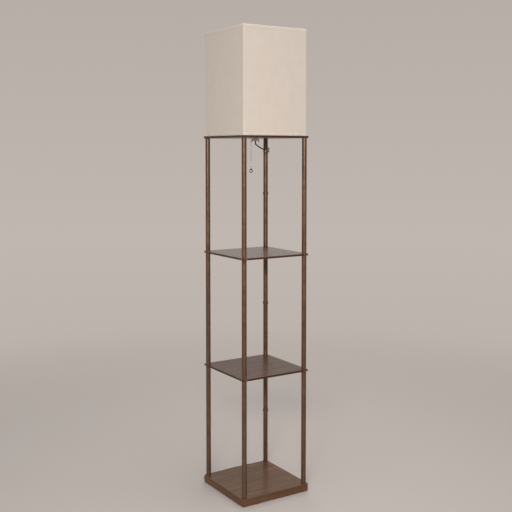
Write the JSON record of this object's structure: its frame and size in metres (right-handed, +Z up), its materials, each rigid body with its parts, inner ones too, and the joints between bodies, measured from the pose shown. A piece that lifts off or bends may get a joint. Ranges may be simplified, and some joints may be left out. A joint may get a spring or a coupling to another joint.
{
  "type": "shelf floor lamp",
  "caption": "Square tower floor lamp: a fabric box shade on a four-post stand with open shelves, a weighted base, a pull-chain lampholder and its cord.",
  "frame": {"origin": "on the floor, under the middle of the base", "axes": "+Z up, +X and +Y along the plates' edges; the cord hangs behind the post at +X +Y"},
  "size_m": [0.265, 0.3154, 1.5749],
  "materials": {
    "wood_base": "stained walnut veneer, satin",
    "wood_shelf": "stained walnut veneer, semi-gloss",
    "steel_weight": "mill finish",
    "felt": "needled felt",
    "zinc_steel": "zinc plated",
    "black_steel": "blackened",
    "brass_plain": "plain",
    "bronze_cast": "oil rubbed bronze",
    "black_plastic": "moulded",
    "brass_shell": "brushed and lacquered",
    "card": "fibre liner",
    "phenolic": "moulded",
    "aluminium_shell": "bright",
    "bulb_glaze": "black glass bead",
    "bulb_opal": "opal, inside white",
    "chain_nickel": "nickel plated",
    "knob_metal": "bronze plated",
    "shade_linen": "linen weave",
    "shade_hem_linen": "linen, turned edge",
    "shade_styrene": "laminated backing",
    "shade_frame": "white lacquer",
    "cord_pvc": "dark brown sheath",
    "tie_nylon": "black nylon",
    "clip_plastic": "dark brown, moulded",
    "bronze_post": "oil rubbed bronze, satin"
  },
  "bodies": {
    "stand": {"base_board": "wood_base", "shelf_lower": "wood_shelf", "shelf_upper": "wood_shelf", "top_board": "wood_shelf", "base_weight": "steel_weight", "base_felt": "felt", "base_bolts": "zinc_steel", "top_bolts": "black_steel", "shelf_studs": "zinc_steel", "post_plugs": "zinc_steel", "shade_locators": "black_steel", "locator_screws": "zinc_steel", "socket_nipple": "zinc_steel", "nipple_washer": "zinc_steel", "nipple_lock_nut": "brass_plain", "wing_nut": "bronze_cast", "cord_bushing": "black_plastic", "chain_eyelet": "brass_plain", "socket_cap": "brass_shell", "socket_shell": "brass_shell", "socket_insulator": "card", "socket_body": "phenolic", "lever_pin": "zinc_steel", "chain_bell": "brass_shell", "screw_shell": "aluminium_shell", "centre_contact": "brass_plain", "cord_lead": "cord_pvc", "cord_hank": "cord_pvc", "cord_tail": "cord_pvc", "hank_ties": "tie_nylon", "plug_body": "cord_pvc", "plug_blades": "brass_plain", "post_tie": "tie_nylon", "cord_clips": "clip_plastic", "post_lower_front": "bronze_post", "post_lower_right": "bronze_post", "post_lower_left": "bronze_post", "post_lower_back": "bronze_post", "post_middle_front": "bronze_post", "post_middle_right": "bronze_post", "post_middle_left": "bronze_post", "post_middle_back": "bronze_post", "post_upper_front": "bronze_post", "post_upper_right": "bronze_post", "post_upper_left": "bronze_post", "post_upper_back": "bronze_post"},
    "shade": {"shade_fabric": "shade_linen", "shade_liner": "shade_styrene", "shade_hems": "shade_hem_linen", "shade_wires": "shade_frame", "shade_uprights": "shade_frame"},
    "bulb": {"bulb_glass": "bulb_opal", "bulb_base": "aluminium_shell", "bulb_insulator": "bulb_glaze", "bulb_contact": "brass_plain"},
    "switch_lever": {"switch_lever": "brass_plain"},
    "pull_chain": {"pull_chain_upper": "chain_nickel"},
    "pull_knob": {"pull_chain_lower": "chain_nickel", "pull_knob": "knob_metal"}
  },
  "joints": [
    {"name": "shade_lift", "type": "slide", "parent": "stand", "child": "shade", "axis": [0, 0, 1], "range_m": [0, 0.2]},
    {"name": "bulb_turn", "type": "hinge", "parent": "stand", "child": "bulb", "pos_m": [0, 0, 1.262], "axis": [0, 0, 1], "continuous": true},
    {"name": "chain_pull", "type": "slide", "parent": "stand", "child": "pull_chain", "axis": [0, 0, -1], "range_m": [0, 0.007], "stiffness_N_per_m": 400, "springref_m": -0.005},
    {"name": "lever_turn", "type": "hinge", "parent": "stand", "child": "switch_lever", "pos_m": [-0.01034, -0.00182, 1.25], "axis": [0.1736, -0.9848, 0], "range_deg": [0, 45]},
    {"name": "chain_swing", "type": "hinge", "parent": "pull_chain", "child": "pull_knob", "pos_m": [-0.02019, -0.00356, 1.2061], "axis": [0, 1, 0], "range_deg": [-30, 30]}
  ],
  "couplings": [
    {"joint": "lever_turn", "follows": "chain_pull", "rad_per_m": 112}
  ]
}
